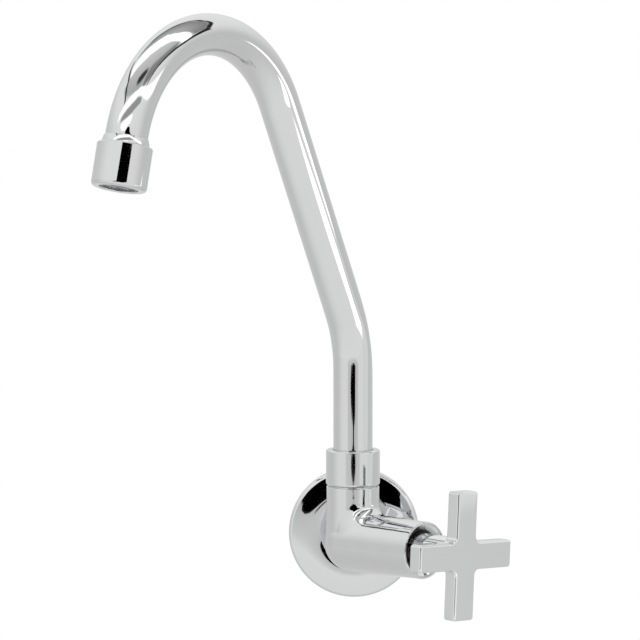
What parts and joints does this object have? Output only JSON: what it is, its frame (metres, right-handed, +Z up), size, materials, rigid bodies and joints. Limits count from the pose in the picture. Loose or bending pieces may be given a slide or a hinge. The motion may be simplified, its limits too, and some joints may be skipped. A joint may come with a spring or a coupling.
{
  "type": "wall faucet",
  "caption": "Wall-mounted cold water faucet: elbow body on a round flange, 45 degree quarter-turn valve with a cross handle, and a tall swivelling gooseneck spout with an aerator.",
  "frame": {"origin": "centre of the inlet in the wall plane, on the axis of the inlet thread", "axes": "+Z up, +Y into the wall along the inlet thread, +X to the user's right as they face the wall"},
  "size_m": [0.1878, 0.1984, 0.2852],
  "materials": {
    "chrome_casting": "polished chrome plate on cast brass",
    "chrome_flange": "polished chrome plate on pressed brass",
    "chrome_nut": "polished chrome plate on turned brass",
    "chrome_tube": "polished chrome plate on bent brass tube",
    "chrome_adapter": "polished chrome plate on turned brass",
    "chrome_aerator": "polished chrome plate on turned brass",
    "chrome_ring": "polished chrome plate on turned brass",
    "chrome_handle": "polished chrome plate on cast zinc",
    "rubber": "black nitrile rubber",
    "white_nylon": "natural nylon",
    "red_fibre": "red vulcanised fibre",
    "brass": "turned brass",
    "ceramic": "lapped alumina ceramic",
    "dark_ceramic": "lapped dark alumina ceramic",
    "spring_steel": "spring steel",
    "stainless_screw": "stainless steel",
    "grey_plastic": "moulded acetal",
    "mesh_steel": "stainless mesh"
  },
  "bodies": {
    "fixture": {"valve_body": "chrome_casting", "wall_flange": "chrome_flange", "flange_grip_ring": "rubber", "spout_nut": "chrome_nut", "friction_washer": "white_nylon", "glide_ring": "white_nylon", "headwork_body": "brass", "headwork_gasket": "red_fibre", "seat_seal": "rubber", "fixed_disc": "ceramic", "mouth_ring": "chrome_ring", "thrust_washer": "white_nylon"},
    "spout": {"swivel_bush": "brass", "spout_oring_upper": "rubber", "spout_oring_lower": "rubber", "spout_tube": "chrome_tube", "tip_adapter": "chrome_adapter", "aerator_housing": "chrome_aerator", "aerator_washer": "rubber", "aerator_cage": "grey_plastic", "aerator_diffuser": "grey_plastic", "aerator_screen_upper": "mesh_steel", "aerator_screen_lower": "mesh_steel"},
    "handle": {"spindle": "brass", "moving_disc": "dark_ceramic", "spindle_oring_inner": "rubber", "spindle_oring_outer": "rubber", "spindle_clip": "spring_steel", "cross_handle": "chrome_handle", "handle_grub_screw": "stainless_screw"}
  },
  "joints": [
    {"name": "spout_swivel", "type": "hinge", "parent": "fixture", "child": "spout", "pos_m": [0, -0.0274, 0.0441], "axis": [0, 0, 1], "range_deg": [-55.4, 124.6]},
    {"name": "handle_turn", "type": "hinge", "parent": "fixture", "child": "handle", "pos_m": [0, -0.0274, 0], "axis": [0.7071, -0.7071, 0], "range_deg": [0, 90]}
  ]
}
